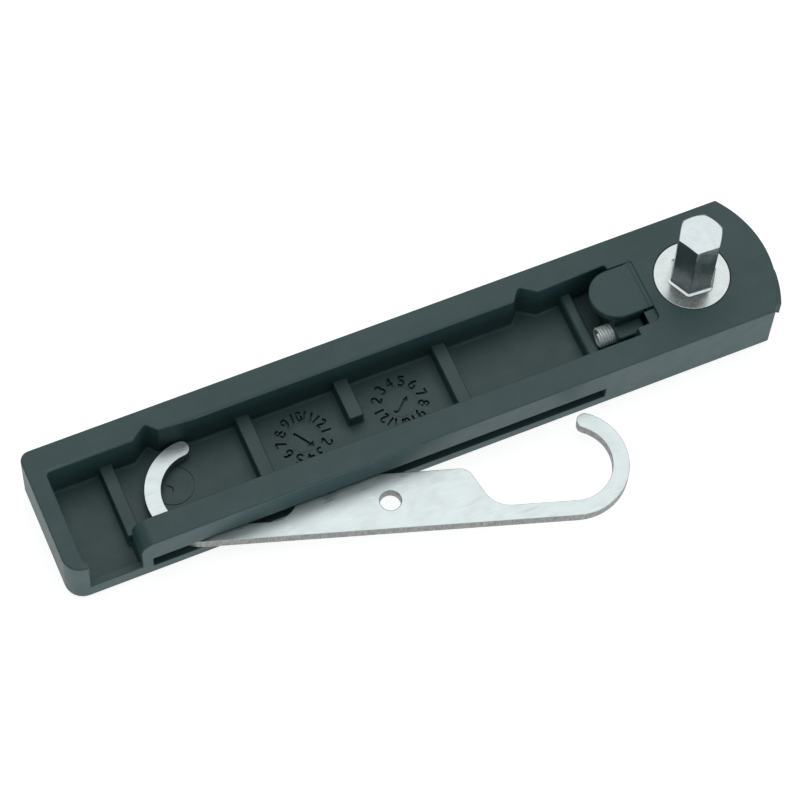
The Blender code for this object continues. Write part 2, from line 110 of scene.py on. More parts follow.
POST_X = 108.5
POST_FLATS = 6.35
POST_REST_ANGLE = -3.75
POST_LOW_Z, POST_TOP_Z = 10.3, 23.1
POST_CHAMFER = 0.5
POST_EDGE = 0.3  # rounding of the hexagon's upright edges
POST_FOOT = 0.4  # how far the foot of the hexagon flares
SHANK_RADIUS, JOURNAL_RADIUS, GROOVE_RADIUS = 2.5, 2.0, 1.6
SHANK_CHAMFER = 0.2
JOURNAL_END_Z, JOURNAL_CHAMFER = 0.2, 0.18
SHANK_GAP, JOURNAL_GAP = 0.3, 0.15  # room around them
LOCK_NOTCHES = 12
LOCK_NOTCH_WIDTH, LOCK_NOTCH_DEPTH = 0.8, 0.6
LOCK_Z = (4.3, 7.3)
WASHER_RADIUS = 6.07
WASHER_SEAT_RADIUS = 6.13
WASHER_Z = (8.5, 10.0)
BACK_WASHER_RADIUS = 4.2
BACK_WASHER_Z = (1.5, 1.9)
WASHER_EDGE, BACK_WASHER_EDGE = 0.14, 0.08
CLIP_RADIUS = 3.6
CLIP_Z = (0.7, 1.2)
CLIP_GROOVE_Z = (0.55, 1.35)
CLIP_EDGE = 0.06
CLIP_MOUTH = (15.0, 26.0)  # half the mouth's angle, outside and inside
CLIP_LOBES = (90, -52, 232)
CLIP_LOBE_RADIUS, CLIP_RELIEF = 1.72, 0.85
CLIP_LOBE_ANGLE, CLIP_LOBE_SLOPE = 12, 10  # half a lobe's angle, and its slope's beside it
COUNTERBORE_RADIUS, COUNTERBORE_Z = 4.8, 2.0
BUSH_BORE_RADIUS, BUSH_BORE_Z = 3.8, 4.3

PAD_START, PAD_END = 91.8, 100.05
PAD_NEAR_Y, PAD_FAR_Y = -2.6, 5.9
PAD_LOW_Z = 8.7
PAD_EDGES = (0.12, 0.25)
PAD_POCKET_END, PAD_POCKET_NEAR_Y, PAD_POCKET_FAR_Y, PAD_POCKET_Z = 100.65, -5.2, 5.98, 8.4
POCKET_CORNER_RADII, POCKET_FOOT = (1.0, 0.4), 0.3
PAD_LEDGE_START, PAD_LEDGE_NEAR_Y, PAD_LEDGE_Z = 99.45, -2.5, 9.8
PAD_TONGUE_START, PAD_TONGUE_Z = 98.95, 9.85
PAD_CORNER_LEDGE_FAR_Y, PAD_CORNER_LEDGE_Z = -2.8, 9.3
PAD_CORNER_RADIUS = 0.5
STEM_START, STEM_END = 94.0, 98.9
STEM_NEAR_Y, STEM_FAR_Y = -2.4, 3.0
STEM_LOW_Z = 2.7
WELL_START, WELL_END = 96.4, 99.4
WELL_NEAR_Y, WELL_FAR_Y, WELL_Z = -5.0, 3.3, 2.3
WELL_EDGE = 0.15
NOSE_Z = (4.8, 6.8)
NOSE_WIDTH, NOSE_TIP_WIDTH = 2.0, 0.45
NOSE_TIP_END = 105.85
NOSE_TIP_LENGTH, NOSE_SLOPE_LENGTH = 0.9, 0.8
NOSE_EDGE = 0.05
CHANNEL_HALF_WIDTH = 1.3
CHANNEL_Z = (4.5, 7.1)
HOUSING_NEAR_Y, HOUSING_TOP_Z = -4.7, 6.9
SPRING_Y, SPRING_Z = -2.1, 4.5
SPRING_START, SPRING_END = 91.3, 97.0
SPRING_RADIUS, SPRING_WIRE_RADIUS = 1.7, 0.24
SPRING_TURNS, SPRING_CLOSED_TURNS = 10, 5
SPRING_CLOSED_PITCH = 2.05 * SPRING_WIRE_RADIUS
SPRING_STEPS, SPRING_SIDES = 28, 10  # round each turn, and round the wire
SPRING_BORE_GAP = 0.25

RIM = 0.28  # rounding of the handle's upper outer edge
UNDERSIDE_EDGE = 0.5
MOUTH = 0.2  # rounding of the edges of its openings
FOOT = 0.45  # fillets along the trough's floor
RIM_HIGHLIGHT_BAND = 0.35  # how far the painted highlight on the upper rims reaches down
RIM_HIGHLIGHT_TILT = (0.15, 0.93)  # rise of the normals of the rims' rounded faces, which get the painted highlight

# The mould's marks in the trough's floor. A path is given from its mark's centre.
MARK_DEPTH = 0.65
GROOVE_WIDTH = 0.14
BLANK_DISC = (21.0, 0.5)
BLANK_DISC_RADIUS, BLANK_DISC_DEPTH = 3.25, 0.16
BLANK_DISC_STROKE = ((-0.9, 0.4), (-0.2, -0.3), (-0.3, -1.0))
BLANK_DISC_STROKE_WIDTH = 0.2
MONTH_RING_Y = 0.4
MONTH_DIAL_RADIUS, MONTH_DIAL_DEPTH = 2.5, 0.06
MONTH_RADIUS, MONTH_HEIGHT = 3.7, 1.65
ARROW_WIDTH = 0.4
# Of each ring: its station, the clock angle where the months start, the arrow's shaft and its head
MONTH_RINGS = (
    (42.7, 62, ((-1.2, 1.2), (-0.9, 0.9), (0.75, -1.65)),
     ((0.0, -1.55), (1.2, -1.0), (1.0, -2.1))),
    (59.0, -125, ((1.1, 0.25), (0.2, -0.45), (-0.6, -1.25), (-1.1, -1.45), (-1.5, -1.15)),
     ((1.45, 0.55), (0.55, 0.3), (1.15, -0.35))),
)
PAIR_NARROWING, PAIR_PITCH = 0.75, 0.66  # of two digits side by side, the pitch in digit heights
DIGIT_LINE = 0.34
DIGIT_DEPTH_STEP = 0.03  # so that the floors of crossing strokes don't coincide

WORLD_COLOUR = (0.94, 1.0, 0.98, 1)
WORLD_FADE = (0.1, 0.5, 0.85, 0.25)  # sine of the elevation from, to, and the strengths there
# Each lamp's place and width in metres, its power and its colour
LAMPS = {
    "overhead": ((0.12, 0.2, 0.75), 0.9, 3.0, (1, 1, 1)),
    "near_fill": ((0.25, -0.66, 0.03), 0.4, 1.3, (0.55, 0.8, 1.0)),
}
FLOOR_DROP = 0.0001  # metres below the object
FLOOR_GLOW = 0.84
CAMERA_LENS, CAMERA_SENSOR = 146.875, 36
CAMERA_PLACE = (-0.10707, -0.20479, 0.45661)
CAMERA_TURN = (26.891, -1.923, -23.377)


def station(x):
    return x - HANDLE_LENGTH / 2


def polar(centre, radius, angle):
    """The point at that radius and angle in degrees."""
    return (centre[0] + radius * cos(radians(angle)), centre[1] + radius * sin(radians(angle)))


def arc(centre, radius, start, end, steps):
    return [polar(centre, radius, start + (end - start) * i / steps) for i in range(steps + 1)]


def shifted(path, centre):
    return [(centre[0] + x, centre[1] + y) for x, y in path]


def rounded(before, corner, after, radius, steps=8):
    """Points of the arc that rounds a corner between two straight edges."""
    corner = Vector(corner)
    to_before = (Vector(before) - corner).normalized()
    to_after = (Vector(after) - corner).normalized()
    half = to_before.angle(to_after) / 2
    centre = corner + (to_before + to_after).normalized() * (radius / sin(half))
    first = corner + to_before * (radius / tan(half)) - centre
    last = corner + to_after * (radius / tan(half)) - centre
    start = atan2(first.y, first.x)
    turn = (atan2(last.y, last.x) - start + pi) % (2 * pi) - pi
    angles = [start + turn * i / steps for i in range(steps + 1)]
    return [(centre.x + radius * cos(a), centre.y + radius * sin(a)) for a in angles]


def rounded_polygon(corners, radius, steps=6):
    points = []
    for i, corner in enumerate(corners):
        points += rounded(corners[i - 1], corner, corners[(i + 1) % len(corners)], radius, steps)
    return points


def rectangle(x_low, x_high, y_low, y_high):
    return [(x_low, y_low), (x_high, y_low), (x_high, y_high), (x_low, y_high)]


def anticlockwise(points):
    """The closed outline without repeated points, and turned anticlockwise."""
    kept = []
    for point in points:
        if not kept or (Vector(point) - Vector(kept[-1])).length > 1e-4:
            kept.append(point)
    if (Vector(kept[0]) - Vector(kept[-1])).length < 1e-4:
        kept.pop()
    area = sum(a[0] * b[1] - b[0] * a[1] for a, b in zip(kept, kept[1:] + kept[:1]))
    return kept if area > 0 else kept[::-1]


def grown(points, distance):
    """The outline moved outwards by that distance, with its corners kept sharp."""
    moved = []
    for i, point in enumerate(points):
        before = (Vector(point) - Vector(points[i - 1])).normalized()
        after = (Vector(points[(i + 1) % len(points)]) - Vector(point)).normalized()
        normals = Vector((before.y + after.y, -before.x - after.x))
        reach = distance / (1 + before.dot(after))
        moved.append((point[0] + normals.x * reach, point[1] + normals.y * reach))
    return moved


def top_edge(radius, height, sign, steps=4):
    """(growth, height) steps that round the edge below that height: -1 for a solid, 1 for a cut."""
    turns = [pi / 2 * i / steps for i in range(steps + 1)]
    return [(sign * radius * (1 - cos(t)), height - radius + radius * sin(t)) for t in turns]


def foot_edge(radius, height, sign, steps=4):
    """The same for the edge above that height."""
    return [(growth, 2 * height - z) for growth, z in reversed(top_edge(radius, height, sign, steps))]


def slab(low, high, low_radius, high_radius, steps=3):
    """The profile of a solid with rounded lower and upper edges."""
    return foot_edge(low_radius, low, -1, steps) + top_edge(high_radius, high, -1, steps)


def add_object(name, bm):
    bmesh.ops.recalc_face_normals(bm, faces=bm.faces)
    mesh = bpy.data.meshes.new(name)
    bm.to_mesh(mesh)
    bm.free()
    obj = bpy.data.objects.new(name, mesh)
    bpy.context.scene.collection.objects.link(obj)
    return obj


def skinned(name, rings):
    """A closed solid through rings of points, with as many points in each."""
    bm = bmesh.new()
    rings = [[bm.verts.new(Vector(point) * MM) for point in ring] for ring in rings]
    for low, high in zip(rings, rings[1:]):
        for i in range(len(low)):
            j = (i + 1) % len(low)
            bm.faces.new((low[i], low[j], high[j], high[i]))
    bm.faces.new(rings[0])
    bm.faces.new(rings[-1])
    return add_object(name, bm)


def loft(name, outline, profile, upright=True):
    """A closed solid whose section is the outline, grown by each of the profile's steps.

    The outline lies in X and Y and the profile rises along Z. When it isn't upright, the outline
    lies in X and Z and the profile runs along Y.
    """
    outline = anticlockwise(outline)
    rings = []
    for growth, height in profile:
        section = grown(outline, growth)
        rings.append([(x, y, height) if upright else (x, height, y) for x, y in section])
    return skinned(name, rings)


def along_x(name, sections):
    """A closed solid through sections across X, each given as its x and its (y, z) outline."""
    return skinned(name, [[(x, y, z) for y, z in outline] for x, outline in sections])


def turned(name, profile, x, y=0.0, steps=96):
    """A solid of revolution about an upright axis, from closed (radius, z) points."""
    bm = bmesh.new()
    rings = []
    for radius, z in profile:
        if radius == 0:
            rings.append([bm.verts.new(Vector((x, y, z)) * MM)] * steps)
            continue
        angles = [2 * pi * (i + 0.5) / steps for i in range(steps)]
        rings.append([
            bm.verts.new(Vector((x + radius * cos(a), y + radius * sin(a), z)) * MM) for a in angles
        ])
    loops = list(zip(rings, rings[1:]))
    if profile[0][0] > 0:
        loops.append((rings[-1], rings[0]))
    for first, second in loops:
        for i in range(steps):
            j = (i + 1) % steps
            corners = [first[i], first[j], second[j], second[i]]
            corners = [v for k, v in enumerate(corners) if v not in corners[:k]]
            if len(corners) > 2:
                bm.faces.new(corners)
    return add_object(name, bm)


def ring_profile(inner, outer, low, high, edge):
    """A ring's closed (radius, z) section with rounded corners."""
    return rounded_polygon([(inner, high), (outer, high), (outer, low), (inner, low)], edge, 4)


def combine(obj, others, operation="DIFFERENCE"):
    """Cut or join the others into obj, one after another, and remove them.

    A cutter reaches a little past the surfaces that it opens.
    """
    for other in others:
        modifier = obj.modifiers.new("combine", "BOOLEAN")
        modifier.operation = operation
        modifier.solver = "EXACT"
        modifier.object = other
        bake(obj)
        mesh = other.data
        bpy.data.objects.remove(other)
        bpy.data.meshes.remove(mesh)
    return obj


def bake(obj):
    """Replace obj's mesh by what its modifiers make of it."""
    bpy.context.view_layer.update()
    evaluated = obj.evaluated_get(bpy.context.evaluated_depsgraph_get())
    mesh = bpy.data.meshes.new_from_object(evaluated)
    mesh.name = obj.name
    old = obj.data
    obj.modifiers.clear()
    obj.data = mesh
    bpy.data.meshes.remove(old)


def burnished_rim(face):
    """1 on the rounded upper rims, which get a lighter nylon as a painted highlight, and 0 elsewhere."""
    tilted = RIM_HIGHLIGHT_TILT[0] < face.normal.z < RIM_HIGHLIGHT_TILT[1]
    return 1 if tilted and face.center.z > (HANDLE_HEIGHT - RIM_HIGHLIGHT_BAND) * MM else 0


def sheared_face(face):
    return 1 if abs(face.normal.z) < SHEARED_TILT else 0


def finish(obj, body, nodes, materials, pick=None, angle=40):
    """Weld and shade a piece, give its faces their materials and tie it to its body and nodes."""
    bm = bmesh.new()
    bm.from_mesh(obj.data)
    bmesh.ops.remove_doubles(bm, verts=bm.verts, dist=2e-6)
    bmesh.ops.dissolve_degenerate(bm, edges=bm.edges, dist=1e-6)
    bmesh.ops.recalc_face_normals(bm, faces=bm.faces)
    bm.to_mesh(obj.data)
    bm.free()
    obj.data.materials.clear()
    for material in materials:
        obj.data.materials.append(material)
    for face in obj.data.polygons:
        face.material_index = pick(face) if pick else 0
    obj.data.shade_smooth()
    obj.data.set_sharp_from_angle(angle=radians(angle))
    weighted = obj.modifiers.new("weighted", "WEIGHTED_NORMAL")
    weighted.keep_sharp = True
    weighted.weight = 100
    bake(obj)
    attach(obj, body)
    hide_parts(*nodes)


# Materials


def set_range(node, limits):
    """Set a Map Range node's limits: from low, from high, to low, to high."""
    for socket, limit in zip(("From Min", "From Max", "To Min", "To Max"), limits):
        node.inputs[socket].default_value = limit


class Nodes:
    """A Principled material with short ways to add procedural nodes. Texture scales are per mm."""

    def __init__(self, name, colour, roughness, metallic=0.0, **values):
        self.material = bpy.data.materials.new(name)
        self.material.use_nodes = True
        self.tree = self.material.node_tree
        self.shader = self.tree.nodes["Principled BSDF"]
        self.shader.inputs["Base Color"].default_value = (*colour, 1)
        self.shader.inputs["Roughness"].default_value = roughness
        self.shader.inputs["Metallic"].default_value = metallic
        for key, value in values.items():
            self.shader.inputs[key].default_value = value
        self.place = self.tree.nodes.new("ShaderNodeTexCoord").outputs["Object"]
        self.height = None

    def mapped(self, stretch, turn=0.0):
        """Coordinates in mm, stretched along the axes and then turned about Z.

        The turn varies a streaked pattern, and leaves its streaks along the axes.
        """
        node = self.tree.nodes.new("ShaderNodeMapping")
        node.inputs["Scale"].default_value = [s / MM for s in stretch]
        node.inputs["Rotation"].default_value = (0, 0, radians(turn))
        self.tree.links.new(self.place, node.inputs["Vector"])
        return node.outputs["Vector"]

    def noise(self, scale, detail=2.0, stretch=(1, 1, 1), turn=0.0, distortion=0.0):
        node = self.tree.nodes.new("ShaderNodeTexNoise")
        node.inputs["Scale"].default_value = scale
        node.inputs["Detail"].default_value = detail
        node.inputs["Distortion"].default_value = distortion
        self.tree.links.new(self.mapped(stretch, turn), node.inputs["Vector"])
        return node.outputs["Fac"]

    def remap(self, value, low, high, to_low, to_high):
        node = self.tree.nodes.new("ShaderNodeMapRange")
        set_range(node, (low, high, to_low, to_high))
        self.tree.links.new(value, node.inputs["Value"])
        return node.outputs["Result"]

    def join(self, a, b, operation="ADD"):
        node = self.tree.nodes.new("ShaderNodeMath")
        node.operation = operation
        self.tree.links.new(a, node.inputs[0])
        self.tree.links.new(b, node.inputs[1])
        return node.outputs["Value"]

    def tint(self, value, first, second):
        """The base colour runs from first to second as value runs from 0 to 1."""
        node = self.tree.nodes.new("ShaderNodeMix")
        node.data_type = "RGBA"
        node.inputs["A"].default_value = (*first, 1)
        node.inputs["B"].default_value = (*second, 1)
        self.tree.links.new(value, node.inputs["Factor"])
        self.tree.links.new(node.outputs["Result"], self.shader.inputs["Base Color"])

    def rough(self, value):
        self.tree.links.new(value, self.shader.inputs["Roughness"])

    def bump(self, value, depth, strength=1.0):
        """Add relief of that depth in millimetres."""
        node = self.tree.nodes.new("ShaderNodeBump")
        node.inputs["Strength"].default_value = strength
        node.inputs["Distance"].default_value = depth * MM
        self.tree.links.new(value, node.inputs["Height"])
        if self.height:
            self.tree.links.new(self.height, node.inputs["Normal"])
        self.height = node.outputs["Normal"]
        self.tree.links.new(self.height, self.shader.inputs["Normal"])

    def scratches(self, turn, width=0.035, length=14.0, amount=0.62):
        """Fine straight marks along X, as a value from 0 to 1."""
        lines = self.noise(1.0, 1.0, (1 / length, 1 / width / 8, 1 / width / 8), turn)
        return self.remap(lines, amount, amount + 0.06, 0, 1)


def moulded(name, dark, light, roughness, grain=0.012):
    """Glass-filled nylon: fine spark texture, soft flow marks, faint rubs."""
    m = Nodes(name, dark, roughness, **{"Specular IOR Level": 0.5})
    flow = m.noise(0.06, 3.0, (0.5, 1.4, 1.4), distortion=0.6)
    speckle = m.noise(3.2, 3.0)
    shade = m.remap(m.join(flow, speckle), 0.75, 1.25, 0, 1)
    m.tint(shade, dark, light)
    rubs = m.join(m.scratches(8, 0.03, 7.0, 0.7), m.scratches(-23, 0.04, 5.0, 0.72), "MAXIMUM")
    worn = m.remap(m.noise(0.35, 2.0), 0.3, 0.7, roughness - 0.02, roughness + 0.04)
    m.rough(m.join(worn, m.remap(rubs, 0, 1, 0, 0.09), "SUBTRACT"))
    m.bump(m.noise(4.5, 4.0), grain)
    m.bump(rubs, 0.002)
    return m.material


def satin_steel(name, dark, light, roughness, turn, brush=0.0015):
    """Rolled sheet steel: fine brushing along X, mottling and stray scratches."""
    m = Nodes(name, light, roughness, 1.0)
    mottle = m.noise(0.3, 4.0, distortion=0.8)
    brushed = m.noise(1.0, 2.0, (0.35, 9.0, 9.0), turn)
    m.tint(m.remap(m.join(mottle, brushed), 0.7, 1.3, 0, 1), dark, light)
    stray = m.join(m.scratches(turn + 31, 0.03, 6.0, 0.7), m.scratches(turn - 52, 0.03, 5.0, 0.71),
                   "MAXIMUM")
    base = m.remap(m.join(mottle, brushed), 0.7, 1.3, roughness - 0.08, roughness + 0.1)
    m.rough(m.join(base, m.remap(stray, 0, 1, 0, 0.08)))
    m.bump(brushed, brush)
    m.bump(stray, 0.0006)
    return m.material


def sheared_edge(name, dark, light):
    """The torn, matt edge that a press leaves on sheet steel."""
    m = Nodes(name, dark, 0.5, 1.0)
    torn = m.noise(1.0, 3.0, (6.0, 6.0, 0.8))
    m.tint(m.remap(torn, 0.35, 0.65, 0, 1), dark, light)
    m.rough(m.remap(m.noise(1.3, 3.0), 0.3, 0.7, 0.38, 0.6))
    m.bump(torn, 0.02)
    return m.material


def plated(name, dark, light, roughness, metallic=1.0):
    """Turned and nickel-plated steel with faint tool marks and cloudy plating."""
    m = Nodes(name, light, roughness, metallic)
    cloud = m.noise(0.9, 4.0, distortion=0.4)
    m.tint(m.remap(cloud, 0.35, 0.65, 0, 1), dark, light)
    tool = m.noise(1.0, 2.0, (0.6, 0.6, 14.0))
    m.rough(m.remap(m.join(cloud, tool), 0.7, 1.3, roughness - 0.03, roughness + 0.07))
    m.bump(tool, 0.0008)
    m.bump(m.noise(3.0, 3.0), 0.0005)
    return m.material


# The handle


def handle_outline():
    left, right = station(0), station(HANDLE_LENGTH)
    arch = (right - END_RADIUS, 0)
    sweep = degrees(atan2(HALF_WIDTH, sqrt(END_RADIUS ** 2 - HALF_WIDTH ** 2)))
    points = rounded((left, 0), (left, -HALF_WIDTH), (0, -HALF_WIDTH), NEAR_CORNER_RADIUS, 12)
    points += arc(arch, END_RADIUS, -sweep, sweep, 48)
    points += rounded((0, HALF_WIDTH), (left, HALF_WIDTH), (left, 0), FAR_CORNER_RADIUS, 8)
    return points


def gate_mark():
    arch = (station(HANDLE_LENGTH) - END_RADIUS, 0)
    steps = 14
    outer = []
    for i in range(steps + 1):
        angle = GATE_ANGLES[0] + (GATE_ANGLES[1] - GATE_ANGLES[0]) * i / steps
        proud = GATE_HEIGHTS[0] + (GATE_HEIGHTS[1] - GATE_HEIGHTS[0]) * i / steps
        outer.append(polar(arch, END_RADIUS + proud, angle))
    inner = arc(arch, END_RADIUS - 1, GATE_ANGLES[1], GATE_ANGLES[0], steps)
    return loft("gate_mark", outer + inner, slab(*GATE_Z, *GATE_EDGES))


def trough():
    start, end = station(TROUGH_START), station(TROUGH_END)
    corner_end = station(OPEN_CORNER_END - 0.05)
    lip_y = -HALF_WIDTH + LIP_THICKNESS
    wall = [(station(x), y) for x, y in FAR_WALL]
    points = rounded((end, 0), (end, TROUGH_FAR_Y_END), wall[-1], TROUGH_CORNER_RADIUS, 4)
    for i in reversed(range(len(wall))):
        if i in NOTCH_BOTTOMS:
            points += rounded(wall[i + 1], wall[i], wall[i - 1], TROUGH_CORNER_RADIUS, 5)
        else:
            points.append(wall[i])
    points += rounded(wall[0], (start, TROUGH_FAR_Y_START), (start, 0), TROUGH_START_RADIUS, 5)
    points += rounded((start, 0), (start, lip_y), (0, lip_y), TROUGH_START_RADIUS, 5)
    points += [(corner_end, lip_y), (corner_end, TROUGH_NEAR_Y), (end, TROUGH_NEAR_Y)]
    profile = foot_edge(FOOT, FLOOR_Z, -1) + top_edge(MOUTH, HANDLE_HEIGHT, 1)
    return loft("trough", points, profile + [(MOUTH, HANDLE_HEIGHT + 2)])


def rim_relief():
    """The shallow chamfer along the rim of the wall that has no slot."""
    sections = []
    for x, line in zip((TROUGH_START, RIM_RELIEF_END), RIM_RELIEF_Y):
        sections.append((station(x), [(line, HANDLE_HEIGHT + 1), (line, HANDLE_HEIGHT),
                                      (RIM_RELIEF_LOW_Y, RIM_RELIEF_LOW_Z),
                                      (RIM_RELIEF_LOW_Y, HANDLE_HEIGHT + 1)]))
    return along_x("rim_relief", sections)


def rib(number, rib_start, rib_end):
    """A rib whose ends and foot run on into the walls and the floor."""
    near_y = HALF_RIB_END_Y if number == HALF_RIB else TROUGH_NEAR_Y - 0.2
    far_y = TROUGH_FAR_Y_END + 0.4
    top = NARROW_RIB_ROUNDING if number == NARROW_RIB else RIB_ROUNDING
    corners = rectangle(station(rib_start), station(rib_end), near_y, far_y)
    outline = rounded_polygon(corners, top + 0.1, 4)
    profile = [(FOOT, FLOOR_Z - 0.4)] + foot_edge(FOOT, FLOOR_Z, 1)
    return loft("rib", outline, profile + top_edge(top, RIB_TOP_Z, -1, 5))


def open_corner():
    start, end, top = station(OPEN_CORNER_START), station(OPEN_CORNER_END), HANDLE_HEIGHT
    above = top + 2
    shoulder = rounded((end, LIP_Z), (end, top), (end + 9, top), WALL_END_RADIUS, 12)
    outline = [(start, LIP_Z), (end, LIP_Z)] + shoulder
    outline += [(end + WALL_END_RADIUS + 0.01, above), (start, above)]
    inner = TROUGH_NEAR_Y
    profile = [(MOUTH, -HALF_WIDTH - 2)] + foot_edge(MOUTH, -HALF_WIDTH, 1)
    profile += top_edge(MOUTH, inner, 1) + [(MOUTH, inner + 0.5)]
    return loft("open_corner", outline, profile, upright=False)


def slot_cut():
    corners = rectangle(station(SLOT_START), station(SLOT_END), *SLOT_Z)
    profile = [(SLOT_EDGE, -HALF_WIDTH - 2)] + foot_edge(SLOT_EDGE, -HALF_WIDTH, 1)
    profile.append((0, TROUGH_NEAR_Y + FOOT))
    return loft("slot", rounded_polygon(corners, SLOT_CORNER_RADIUS, 4), profile, upright=False)


def post_seat():
    top, low = HANDLE_HEIGHT, WASHER_Z[0] - 0.1
    shank = SHANK_RADIUS + SHANK_GAP
    edge, low_edge = 0.08, 0.2
    profile = [(0, top + 2), (WASHER_SEAT_RADIUS + edge, top + 2), (WASHER_SEAT_RADIUS + edge, top),
               (WASHER_SEAT_RADIUS, top - edge), (WASHER_SEAT_RADIUS, low), (shank, low),
               (shank, BUSH_BORE_Z), (BUSH_BORE_RADIUS, BUSH_BORE_Z),
               (BUSH_BORE_RADIUS, COUNTERBORE_Z), (COUNTERBORE_RADIUS, COUNTERBORE_Z),
               (COUNTERBORE_RADIUS, low_edge), (COUNTERBORE_RADIUS + low_edge, 0),
               (COUNTERBORE_RADIUS + low_edge, -2), (0, -2)]
    return turned("post_seat", profile, station(POST_X))


def latch_cuts():
    """Cutters for the pad's pocket with its two ledges, the stem's well and the nose's channel."""
    left, right = station(TROUGH_END) - 1, station(PAD_POCKET_END)
    near, far = PAD_POCKET_NEAR_Y, PAD_POCKET_FAR_Y
    near_radius, far_radius = POCKET_CORNER_RADII
    pocket = [(left, near)] + rounded((left, near), (right, near), (right, far), near_radius, 8)
    pocket += rounded((right, near), (right, far), (left, far), far_radius, 5) + [(left, far)]
    profile = foot_edge(POCKET_FOOT, PAD_POCKET_Z, -1) + top_edge(MOUTH, HANDLE_HEIGHT, 1)
    profile.append((MOUTH, HANDLE_HEIGHT + 2))
    below = (0, PAD_POCKET_Z - 1)
    ledge = rectangle(station(PAD_LEDGE_START), right + 1, PAD_LEDGE_NEAR_Y, far + 1)
    cut = loft("pad_pocket", pocket, profile)
    corner = rectangle(station(STEM_END), right + 1, near - 1, PAD_CORNER_LEDGE_FAR_Y)
    yield combine(cut, [loft("ledge", ledge, [below, (0, PAD_LEDGE_Z)]),
                        loft("corner_ledge", corner, [below, (0, PAD_CORNER_LEDGE_Z)])])
    well = rectangle(station(WELL_START), station(WELL_END), WELL_NEAR_Y, WELL_FAR_Y)
    profile = [(0, WELL_Z)] + top_edge(WELL_EDGE, PAD_POCKET_Z, 1)
    yield loft("stem_well", well, profile + [(WELL_EDGE, PAD_POCKET_Z + 0.6)])
    channel = rectangle(station(WELL_END) - 1, station(POST_X) - 1, *CHANNEL_Z)
    yield loft("nose_channel", channel, [(0, -CHANNEL_HALF_WIDTH), (0, CHANNEL_HALF_WIDTH)], False)


def stroke(path, width):
    """The outline of an open line of that width."""
    half = width / 2
    sides = ([], [])
    for i, point in enumerate(path):
        before, after = path[max(i - 1, 0)], path[min(i + 1, len(path) - 1)]
        along = (Vector(after) - Vector(before)).normalized() * half
        sides[0].append((point[0] + along.y, point[1] - along.x))
        sides[1].append((point[0] - along.y, point[1] + along.x))
    return sides[0] + sides[1][::-1]


def mark_solid(outline, depth=MARK_DEPTH):
    return loft("mark", outline, [(0, FLOOR_Z - depth), (0, FLOOR_Z + 0.3)])


# Strokes of each digit, which is one unit high
DIGITS = {
    "0": [arc((0, 0.2), 0.26, 0, 180, 8) + arc((0, -0.2), 0.26, 180, 350, 8) + [(0.26, 0.05)]],
    "1": [[(0, -0.5), (0, 0.5)]],
    "2": [arc((0, 0.22), 0.26, 165, -35, 8) + [(-0.24, -0.4)], [(-0.3, -0.46), (0.3, -0.46)]],
    "3": [arc((0, 0.24), 0.24, 155, -80, 8), arc((0, -0.22), 0.27, 80, -155, 8)],
    "4": [[(-0.32, -0.18), (0.32, -0.18)], [(0.12, 0.5), (0.12, -0.5)],
          [(0.12, 0.48), (-0.28, -0.16)]],
    "5": [[(-0.22, 0.46), (0.26, 0.46)], [(-0.2, 0.48), (-0.22, 0.02)],
          arc((-0.02, -0.2), 0.28, 120, -150, 8)],
    "6": [arc((0, -0.2), 0.26, 90, 420, 12), [(-0.25, -0.16), (-0.16, 0.2), (0.14, 0.48)]],
    "7": [[(-0.28, 0.46), (0.3, 0.46)], [(0.26, 0.44), (-0.08, -0.5)]],
    "8": [arc((0, 0.25), 0.21, 0, 325, 12), arc((0, -0.22), 0.26, 0, 330, 12)],
    "9": [arc((0, 0.2), 0.26, 270, 600, 12), [(0.25, 0.16), (0.16, -0.2), (-0.14, -0.48)]],
}


def numeral(text, centre, radius, clock, size):
    """Cutters for a numeral on a circle, with its foot to the centre, at a clock angle."""
    angle = radians(90 - clock)
    up, right = (cos(angle), sin(angle)), (sin(angle), -cos(angle))
    narrow = 1.0 if len(text) == 1 else PAIR_NARROWING
    for place, digit in enumerate(text):
        aside = (place - (len(text) - 1) / 2) * PAIR_PITCH
        for order, path in enumerate(DIGITS[digit]):
            points = []
            for u, v in path:
                across, out = (u * narrow + aside) * size, radius + v * size
                points.append((centre[0] + right[0] * across + up[0] * out,
                               centre[1] + right[1] * across + up[1] * out))
            yield mark_solid(stroke(points, DIGIT_LINE), MARK_DEPTH + DIGIT_DEPTH_STEP * order)


def ring_groove(centre, radius, depth):
    low, high, outer = FLOOR_Z - depth, FLOOR_Z + 0.3, radius + GROOVE_WIDTH
    profile = [(radius, high), (outer, high), (outer, low), (radius, low)]
    return turned("ring_groove", profile, *centre, 64)


def date_marks():
    """The mould's inserts: a blank disc, and two rings of months with an arrow."""
    centre = (station(BLANK_DISC[0]), BLANK_DISC[1])
    yield ring_groove(centre, BLANK_DISC_RADIUS, BLANK_DISC_DEPTH)
    yield mark_solid(stroke(shifted(BLANK_DISC_STROKE, centre), BLANK_DISC_STROKE_WIDTH))
    for x, first, shaft, head in MONTH_RINGS:
        centre = (station(x), MONTH_RING_Y)
        yield ring_groove(centre, MONTH_DIAL_RADIUS, MONTH_DIAL_DEPTH)
        for month in range(1, 13):
            yield from numeral(str(month), centre, MONTH_RADIUS, first + 30 * month, MONTH_HEIGHT)
        yield mark_solid(stroke(shifted(shaft, centre), ARROW_WIDTH))
        yield mark_solid(shifted(head, centre))


def make_handle(materials):
    handle = loft("handle_shell", handle_outline(), slab(0, HANDLE_HEIGHT, UNDERSIDE_EDGE, RIM, 5))
    combine(handle, [gate_mark()], "UNION")
    combine(handle, [trough(), rim_relief()])
    combine(handle, [rib(i, *span) for i, span in enumerate(RIBS)], "UNION")
    combine(handle, [open_corner(), slot_cut(), post_seat(), *latch_cuts()])
    combine(handle, date_marks())
    # the rounded upper rims get the lighter nylon, a painted highlight
    finish(handle, "handle", ["handle_body"], materials, burnished_rim)


# The blade


